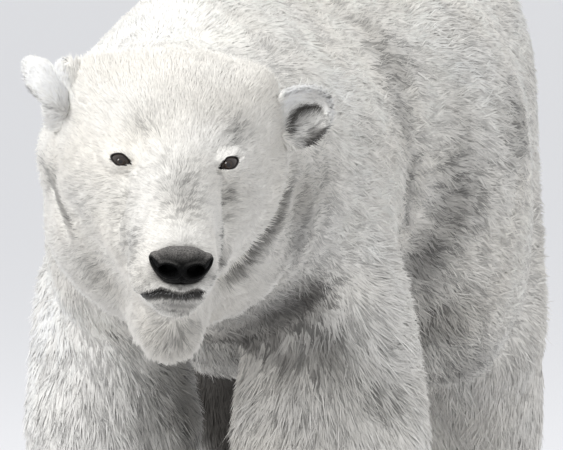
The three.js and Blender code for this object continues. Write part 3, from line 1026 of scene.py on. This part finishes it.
lip_gap, lip_spot = from_line(on_head, MOUTH[0])
other_gap, other_spot = from_line(on_head, MOUTH[1])
nearer = other_gap < lip_gap
lip_gap[nearer], lip_spot[nearer] = other_gap[nearer], other_spot[nearer]
below_lip = lip_spot[:, 2] - on_head[:, 2]
nose_gap = np.linalg.norm((on_head - NOSE_MIDDLE) / mm(40, 26, 25), axis=1)
furrow_gap, _ = from_line(on_head, FURROW)
length *= 0.3 + 0.7 * ramp(lid_reach, 1.2, 3.0)
length *= 0.55 + 0.45 * ramp(lip_gap, 0.002, 0.02)
length *= 0.55 + 0.45 * ramp(nose_gap, 1.0, 1.5)
thick = ramp(lid_reach, 1.10, 1.26) * ramp(nose_gap, 0.93, 1.02) * ramp(furrow_gap, 0.0019, 0.0032)
thick *= 0.25 + 0.75 * ramp(lip_gap, 0.0006, 0.002)
print("coat length, mm:", (length.min() * 1000).round(1), "to", (length.max() * 1000).round(1))

# %% [markdown]
# ## Colour of skin and coat
#
# A polar bear's hair is clear and hollow, and looks off-white: nearly neutral, a little warm,
# yellower where it is old, greyer where it is soiled, wet or thin over the black skin. The lips,
# the rims of the eyes and the border of the nose are that black skin. Shade is painted in with
# the same grey as the dirt: painted shade in the folds behind the cheeks and beside the muzzle,
# under the chin and the belly, between the legs, on the neck's shaded side and in the bowls of
# the ears. The ears and the right foreleg are painted whiter, partly as painted light. Each
# vertex of the skin gets its colour here, and each hair takes the colour of the skin at its
# root, so that the two always agree.

# %% Markings, dirt and painted shade
COAT = np.array((0.92, 0.90, 0.855))
CLEAN_AND_LIT_WHITE = np.array((0.985, 0.975, 0.945))  # whiter hair of the ears and the right foreleg, partly painted light
WARM = np.array((0.84, 0.77, 0.64))
# the grey of dirt, used also for painted shade in folds, under the chin and belly and between the legs
SOIL_AND_SHADE_GREY = np.array((0.065, 0.060, 0.054))
BLACK_SKIN = np.array((0.012, 0.011, 0.011))
SOILED_AND_SHADED_HEAD = (  # grey patches of dirt and of painted shade: centre and radii in the head's axes, in millimetres, and strength
    ((-39, 56, 33), (18, 28, 16), 0.30), ((78, 66, 22), (20, 28, 18), 0.42),
    ((3, -78, 0), (26, 60, 28), 0.5), ((0, -16, 0), (30, 36, 26), 0.3),
    ((-56, -126, -52), (14, 42, 34), 0.5), ((-60, -60, -60), (20, 50, 40), 0.3),
    ((-44, -160, -84), (16, 40, 20), 0.5), ((-30, -186, -62), (26, 18, 16), 0.5),
    ((0, -200, -72), (26, 14, 10), 0.55), ((34, -180, -62), (18, 18, 16), 0.45),
    ((-62, -20, -42), (14, 26, 24), 0.35), ((66, 2, -36), (10, 16, 16), 0.55),
    ((2, -180, -100), (34, 26, 14), 0.75), ((-84, 80, -176), (40, 50, 36), 0.4),
    ((-100, 60, -60), (34, 60, 40), 0.2), ((0, -60, -205), (40, 50, 26), 0.42),
    ((0, -166, -118), (34, 20, 12), 0.7), ((204, 222, -148), (44, 80, 56), 0.45),
    ((50, 0, -8), (9, 12, 6), 0.5), ((-50, 0, -8), (9, 12, 6), 0.5),
)
MUZZLE_SHADE = mm((58, -11, -28), (59, -25, -44), (58, -50, -52), (58, -57, -68),
                  (60, -50, -92), (60, -41, -114))
LEFT_CHEEK_SHADE = mm((157, 136, -83), (148, 109, -85), (140, 90, -94), (133, 79, -104),
                      (120, 66, -117), (106, 58, -132), (94, 53, -146), (80, 48, -157))
RIGHT_CHEEK_SHADE = mm((-141, 168, -94), (-137, 117, -89), (-131, 93, -92),
                       (-124, 81, -101), (-118, 73, -110))
CREASES = (  # painted shade where one mass of fur folds over another: line, width, strength, and the way from the line to its shaded side, the only side that is painted dark
    # the line to its shaded side, the only side that is dark
    (RIGHT_CHEEK_SHADE, 0.026, 0.72, (-0.5, 0.87, 0)),
    (LEFT_CHEEK_SHADE, 0.022, 0.78, (0.6, 0.35, -0.72)),
    (MUZZLE_SHADE, 0.012, 0.75, (0.45, 0.89, 0)),
    (CHIN_FOLD, 0.009, 0.55, (0, 0, -1)),
)
SOILED_AND_SHADED_BODY = (  # grey patches of dirt and of painted shade: centre and radii in the scene's axes, in metres, strength and sides
    ((0.135, -0.46, 0.66), (0.09, 0.14, 0.075), 0.8, LEFT),
    ((0.085, -0.42, 0.625), (0.036, 0.12, 0.052), 1.0, LEFT),
    ((0.05, -0.44, 0.60), (0.035, 0.12, 0.05), 1.0, LEFT),
    ((0.125, -0.41, 0.63), (0.03, 0.10, 0.05), 0.9, LEFT),
    ((0.17, -0.45, 0.69), (0.042, 0.09, 0.036), 1.0, LEFT),
    ((0.192, -0.40, 0.61), (0.036, 0.08, 0.04), 0.78, LEFT),
    ((0.14, -0.40, 0.60), (0.05, 0.08, 0.03), 0.8, LEFT),
    ((0.203, -0.60, 0.775), (0.022, 0.06, 0.022), 0.7, LEFT),
    ((0.262, -0.36, 0.545), (0.05, 0.08, 0.045), 0.36, LEFT),
    ((0.22, 0.33, 0.50), (0.06, 0.12, 0.05), 0.5, LEFT),
    ((0.19, -0.04, 0.975), (0.05, 0.06, 0.06), 0.5, BOTH),
    ((0.217, -0.075, 0.91), (0.05, 0.05, 0.06), 0.5, BOTH),
    ((0.23, -0.06, 0.81), (0.04, 0.05, 0.09), 0.5, BOTH),
    ((0.209, 0.10, 0.69), (0.05, 0.08, 0.07), 0.75, BOTH),
    ((0.193, 0.25, 0.60), (0.06, 0.09, 0.07), 0.8, BOTH),
    ((0.254, 0.14, 0.77), (0.05, 0.10, 0.08), 0.55, BOTH),
    ((0.20, 0.585, 0.60), (0.06, 0.10, 0.09), 0.55, BOTH),
    ((0.30, 0.37, 0.87), (0.05, 0.08, 0.08), 0.45, BOTH),
    ((0.215, -0.60, 0.80), (0.06, 0.07, 0.08), 0.55, BOTH),
    # painted shade under the belly and between the forelegs, then beside the right hind leg
    ((0.0, 0.10, 0.50), (0.17, 0.55, 0.10), 0.9, LEFT),
    ((0.0, -0.42, 0.54), (0.06, 0.14, 0.12), 1.0, LEFT),
    ((0.20, 0.49, 0.43), (0.11, 0.12, 0.20), 1.2, RIGHT),
)


def mix(first, second, share):
    """Blends two colours, or rows of colours, by a share for each row."""
    share = np.clip(share, 0, 1)[:, None]
    return first * (1 - share) + second * share


# how much each vertex is darkened, by dirt and by painted shade, from 0 to 1
soil_and_shade = np.zeros(len(places))
for centre, radii, strength in SOILED_AND_SHADED_HEAD:
    soil_and_shade = np.maximum(soil_and_shade, strength * near(on_head, mm(*centre), mm(*radii)))
for line, width, strength, shaded_way in CREASES:
    gap, spot = from_line(on_head, line)
    shaded = ramp((on_head - spot) @ np.array(shaded_way), -0.001, 0.002)
    soil_and_shade = np.maximum(soil_and_shade, strength * shaded * np.exp(-((gap / width) ** 2)))
for centre, radii, strength, sides in SOILED_AND_SHADED_BODY:
    for side in sides:
        spread = near(places, np.array(centre) * (side, 1, 1), radii)
        soil_and_shade = np.maximum(soil_and_shade, strength * spread)
soil_and_shade += 0.10 * ramp(waves(places, 0.16, 6), 0.0, 0.8) * ~is_mine["head"]
upper_lip = (below_lip < 0.001) * (1 - ramp(lip_gap, 0.003, 0.007))
lower_lip = (below_lip > 0) * (1 - ramp(lip_gap, 0.008, 0.018))
lower_lip *= 1 - ramp(on_head[:, 0], 0.024, 0.031)
soil_and_shade = np.maximum(soil_and_shade, 0.95 * np.maximum(upper_lip, lower_lip))

warm = 0.28 + 0.2 * waves(places, 0.5, 3) + 0.14 * waves(places, 0.12, 4)
warm += 0.25 * ramp(0.5 - places[:, 2], 0, 0.4)
tint = mix(COAT, WARM, warm * 0.5)
# painted shade in the bowls of the ears
for name, dark in (("ear_left", 1.1), ("ear_right", 0.25)):
    soil_and_shade = np.maximum(soil_and_shade, dark * np.clip(bowl_shade[name], 0, 1))
# whiter hair, partly painted light: the ears, the right foreleg and the root of the right ear
clean_and_lit = 0.85 * ear_part + 0.6 * (is_mine["foreleg_right_upper"] | is_mine["foreleg_right_lower"])
lit_right_ear_root = near(on_head, mm(-148, 150, 20), mm(30, 40, 42))
clean_and_lit = np.maximum(links.relax(clean_and_lit, 10), 0.85 * lit_right_ear_root)
tint = mix(tint, CLEAN_AND_LIT_WHITE, clean_and_lit)
tint = mix(tint, SOIL_AND_SHADE_GREY, soil_and_shade)
bare = np.maximum.reduce([
    1 - ramp(lid_reach, 1.14, 1.30), (1 - ramp(nose_gap, 0.97, 1.05)) * head_part,
    1 - ramp(lip_gap, 0.0012, 0.003), 1 - ramp(furrow_gap, 0.0016, 0.0027),
    lower_lip * (1 - ramp(lip_gap, 0.005, 0.012)) * 0.8,
])
tint = mix(tint, BLACK_SKIN, bare)

# %% Paint the skin
def set_colours(piece, colours):
    """Stores one colour for each vertex, for the materials to read."""
    layer = piece.data.color_attributes.new("coat_colour", "FLOAT_COLOR", "POINT")
    rows = np.concatenate([colours, np.ones((len(colours), 1))], axis=1)
    layer.data.foreach_set("color", rows.astype(np.float32).ravel())


# the skin is painted darker than its hair, as painted shade under the coat
set_colours(skin, tint * 0.85)


def coloured_material(name, roughness, sheen, grain_scale, bump_depth):
    """A Principled material that takes its colour from the piece and adds a fine grain."""
    material = plain_material(name, (0.8, 0.8, 0.8), roughness)
    painted = wired(material, "VertexColor", "Color", layer_name="coat_colour")
    place = wired(material, "TexCoord", "Object")
    grain = wired(material, "TexNoise", "Fac", {"Vector": place, "Scale": grain_scale, "Detail": 2})
    shade = wired(material, "MapRange", "Result", {"Value": grain, "To Min": 0.88, "To Max": 1.06})
    grained = wired(material, "VectorMath", "Vector", {0: painted, "Scale": shade}, operation="SCALE")
    finish_of(material, {
        "Base Color": grained, "Specular IOR Level": 0.15,
        "Sheen Weight": sheen, "Sheen Roughness": 0.5,
    })
    if bump_depth:
        finish_of(material, {"Normal": wired(material, "Bump", "Normal", {
            "Height": grain, "Distance": bump_depth, "Strength": 0.7,
        })})
    return material


skin.data.materials.clear()
skin.data.materials.append(coloured_material("skin", 0.6, 0.1, 420, 0.0009))
pick(skin)
bpy.ops.object.shade_smooth()
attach(skin, "root")
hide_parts(*FLESH)

# %% [markdown]
# ## Growing the coat
#
# A tuft is a small closed solid that tapers to a point. Short ones have four faces and lie
# straight; long ones have six and bend over in the middle. Tufts are sown over a patch of skin
# in proportion to its area, so that none is bare, and each takes its lean, length, breadth and
# colour from the skin under its root, with a little chance of its own. Each is painted darker at
# its root than at its tip, as painted shade between the hairs. Where the coat is darkened, by
# dirt and by painted shade, streaks of darker hair run along its lie. All tufts of a patch are
# one mesh, made from arrays, because there are far too many to model by hand. To give every tuft
# its own spot in the baked colours, the patch of skin is unwrapped, and each tuft takes a tiny
# square of that unwrap, at its root.

# %% A patch of skin, unwrapped
coat_material = coloured_material("coat", 0.62, 0.15, 260, 0)


def unwrap_patch(chosen_faces):
    """Unwraps these faces of the skin by themselves; gives their corners' places on the map."""
    bed = bpy.data.objects.new("bed", skin.data.copy())
    bpy.context.scene.collection.objects.link(bed)
    choose_faces(bed, ~chosen_faces)
    bpy.ops.mesh.delete(type="FACE")
    bpy.ops.mesh.select_all(action="SELECT")
    bpy.ops.uv.smart_project(angle_limit=math.radians(66), island_margin=0.004)
    leave_edit()
    map_places = read_rows(bed.data.uv_layers.active.data, "uv", 2)
    bpy.data.objects.remove(bed)
    return map_places.reshape(-1, 3, 2)


corners = read_rows(skin.data.polygons, "vertices", 3, np.int32)
edge_a = places[corners[:, 1]] - places[corners[:, 0]]
edge_b = places[corners[:, 2]] - places[corners[:, 0]]
face_area = np.linalg.norm(np.cross(edge_a, edge_b), axis=1) / 2
face_middle = places[corners].mean(axis=1)
print("skin area, m2:", face_area.sum().round(3))

# %% Tufts as arrays
PATCH = 0.0015  # half the width of a tuft's square on the unwrap
SPIKE_FACES = np.array(((0, 2, 3), (1, 3, 2), (0, 1, 2), (0, 3, 1)))
LOCK_FACES = np.array(((0, 1, 2), (0, 3, 1), (0, 2, 3), (4, 2, 1), (4, 1, 3), (4, 3, 2)))
SPIKE_MAP = np.array(((-1, -1), (1, -1), (0, 0), (0, 1)))
LOCK_MAP = np.array(((0, -1), (-1, 0), (1, 0), (0, 0), (0, 1)))
FLOOR_GAP = 0.0015
LONGER, THINNER = 1.45, 0.52  # the long hair against the coat it grows from
PALE_SHARE, PALE_LIFT = 0.3, 0.14  # how many hairs on the bare lips are pale, and by how much


def grow(name, chosen_faces, count, seed, lift, streak=0.018, grain=0.24, long_hair=False,
         density=thick):
    """Sows tufts over a patch of skin and joins them into one piece of the coat. Lift is their
    angle off the skin in degrees, streak the width of a lock, and grain its contrast."""
    dice = np.random.default_rng(seed)
    faces = np.flatnonzero(chosen_faces)
    unwrapped = unwrap_patch(chosen_faces)
    weight = face_area[faces] * density[corners[faces]].mean(axis=1)
    ladder = np.cumsum(weight) / weight.sum()
    rungs = (np.arange(count) + dice.uniform(size=count)) / count
    row = np.minimum(np.searchsorted(ladder, rungs), len(faces) - 1)
    face = faces[row]
    a, b = dice.uniform(size=(2, count))
    over = a + b > 1
    a[over], b[over] = 1 - a[over], 1 - b[over]
    share = np.stack([1 - a - b, a, b], axis=1)

    def at_root(values):
        return np.einsum("tk,tk...->t...", share, values[corners[face]])

    root = at_root(places)
    up = unit(at_root(outward))
    way = along_surface(at_root(lean), up)
    side = np.cross(way, up)
    turn = 0.30 * waves(root, 0.05, seed + 1) + 0.18 * waves(root, 0.016, seed + 2)
    turn = turn + dice.normal(scale=0.08 if long_hair else 0.15, size=count)
    way = way * np.cos(turn)[:, None] + side * np.sin(turn)[:, None]
    side = np.cross(way, up)
    long = at_root(length) * dice.uniform(0.7, 1.25, size=count)
    wide = at_root(breadth) * dice.uniform(0.7, 1.3, size=count)
    if long_hair:
        long, wide = long * LONGER, wide * THINNER
    angle = np.radians(lift * (1 + 0.35 * waves(root, 0.03, seed + 3)
                               + dice.normal(scale=0.2, size=count)))
    ahead = (long * np.cos(angle))[:, None] * way
    rise = (long * np.sin(angle))[:, None] * up
    half = (wide / 2)[:, None] * side
    deep = (wide * 0.42)[:, None] * up
    steep = np.abs(way[:, 2]) > 0.6
    drawn_out = root * np.where(steep[:, None], (1, 1, 0.3), (0.35, 0.35, 1))
    streaky = waves(drawn_out, streak, seed + 4)
    # the normals swing from side to side in waves, so that the light shows locks of hair
    lit = unit(up + 1.7 * grain * waves(drawn_out, streak * 1.6, seed + 5)[:, None] * side)
    if long_hair:
        bend = root + 0.42 * ahead + 0.62 * rise
        stack = np.stack([
            root - deep,
            bend - half,
            bend + half,
            bend + deep,
            root + ahead + rise + half * dice.normal(scale=0.8, size=(count, 1)),
        ], axis=1)
        shine = np.stack([lit, lit - 0.5 * side, lit + 0.5 * side, lit, lit + 0.3 * way], axis=1)
        face_table, spread = LOCK_FACES, LOCK_MAP
        # painted shade: each lock is darker at its root than at its tip
        painted_root_shade = np.array((0.78, 0.93, 0.93, 0.98, 1.0))
    else:
        stack = np.stack([
            root - half - 0.5 * deep,
            root + half - 0.5 * deep,
            root + 0.35 * ahead + 0.4 * rise + deep,
            root + ahead + rise,
        ], axis=1)
        shine = np.stack([lit - 0.5 * side, lit + 0.5 * side, lit, lit + 0.3 * way], axis=1)
        face_table, spread = SPIKE_FACES, SPIKE_MAP
        # painted shade: each spike is darker at its root, a little lighter at its tip
        painted_root_shade = np.array((0.80, 0.80, 1.0, 1.03))
    per = stack.shape[1]
    stack[:, :, 2] = np.maximum(stack[:, :, 2], FLOOR_GAP)
    # dirt and painted shade at the root of each tuft
    soil_and_shade_here = np.clip(at_root(soil_and_shade), 0, 1)
    mark = ramp(streaky + 0.35 * dice.normal(size=count), 0.0, 0.8)
    shade = 1.05 - (grain + 1.9 * soil_and_shade_here * (1.05 - soil_and_shade_here)) * (mark - 0.25)
    colour = at_root(tint)[:, None, :] * painted_root_shade[None, :, None] * shade[:, None, None]
    pale_hairs = at_root(bare) * (dice.uniform(size=count) < PALE_SHARE)
    colour += PALE_LIFT * pale_hairs[:, None, None]
    spot = np.einsum("tk,tkc->tc", share, unwrapped[row])
    spots = spot[:, None, :] + PATCH * spread[None]
    triangles = (np.arange(count)[:, None, None] * per + face_table[None]).reshape(-1, 3)

    mesh = bpy.data.meshes.new(name)
    mesh.vertices.add(count * per)
    mesh.vertices.foreach_set("co", stack.astype(np.float32).ravel())
    mesh.loops.add(triangles.size)
    mesh.loops.foreach_set("vertex_index", triangles.astype(np.int32).ravel())
    mesh.polygons.add(len(triangles))
    mesh.polygons.foreach_set("loop_start", np.arange(0, triangles.size, 3, dtype=np.int32))
    mesh.update(calc_edges=True)
    layer = mesh.uv_layers.new(name="OFBake")
    flat_spots = spots.reshape(-1, 2)[triangles.ravel()]
    layer.data.foreach_set("uv", flat_spots.astype(np.float32).ravel())
    piece = bpy.data.objects.new(name, mesh)
    bpy.context.scene.collection.objects.link(piece)
    set_colours(piece, np.clip(colour.reshape(-1, 3), 0, 1))
    mesh.normals_split_custom_set_from_vertices(unit(shine).reshape(-1, 3))
    mesh.materials.append(coat_material)
    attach(piece, "root")
    print(name, "tufts", count, "triangles", len(triangles))


# %% Patches
def of_solid(*names):
    """The faces of the skin that belong to these solids."""
    return np.isin(owner[corners[:, 0]], [FLESH.index(name) for name in names])


on_ear = ear_part[corners[:, 0]]
face_head = to_head(face_middle)
head_faces = of_solid("head", "ear_left", "ear_right") & ~on_ear
front_head = head_faces & (face_head[:, 1] < 0.10)
off_floor = face_middle[:, 2] > 0.004
left_half = face_middle[:, 0] > 0
trunk = of_solid("trunk") & ~on_ear
front_trunk = face_middle[:, 1] < 0.15
grow("coat_face", front_head, 49000, 11, lift=14, streak=0.006, grain=0.07)
grow("coat_head", head_faces & ~front_head, 26000, 12, lift=11, streak=0.009, grain=0.08)
grow("coat_ears", on_ear, 11000, 13, lift=14, streak=0.006, grain=0.04)
grow("coat_neck", of_solid("neck") & ~on_ear, 38000, 14, lift=9, streak=0.014, grain=0.19)
grow("coat_chest_left", trunk & left_half & front_trunk, 34000, 15, lift=9)
grow("coat_chest_right", trunk & ~left_half & front_trunk, 34000, 16, lift=9)
grow("coat_flank_left", trunk & left_half & ~front_trunk, 23000, 17, lift=9)
grow("coat_flank_right", trunk & ~left_half & ~front_trunk, 23000, 18, lift=9)
grow("coat_tail", of_solid("tail"), 1200, 19, lift=14)
seed = 20
for leg, tufts in (("foreleg_left", 21000), ("foreleg_right", 21000),
                   ("hindleg_left", 16000), ("hindleg_right", 16000)):
    limb, paw = of_solid(leg + "_upper", leg + "_lower"), of_solid(leg + "_paw") & off_floor
    grow("coat_" + leg, limb, tufts, seed, lift=9, grain=0.15)
    grow("coat_" + leg + "_paw", paw, 6500, seed + 1, lift=13)
    seed += 2

# %% Long hair on the throat, the legs and the belly
on_leg = np.isin(owner, [n for n, name in enumerate(FLESH) if name.endswith(("_upper", "_lower"))])
shaggy = on_leg * ramp(places[:, 2], 0.12, 0.3) * (1 - ramp(places[:, 2], 0.52, 0.66))
shaggy = np.maximum(shaggy, is_mine["trunk"] * under)
shaggy = links.relax(shaggy.astype(float), 6)
shaggy_face = (shaggy[corners[:, 0]] > 0.04) & ~head_faces & ~on_ear
grow("coat_long", shaggy_face, 18000, 40, lift=6, grain=0.15, long_hair=True, density=shaggy)
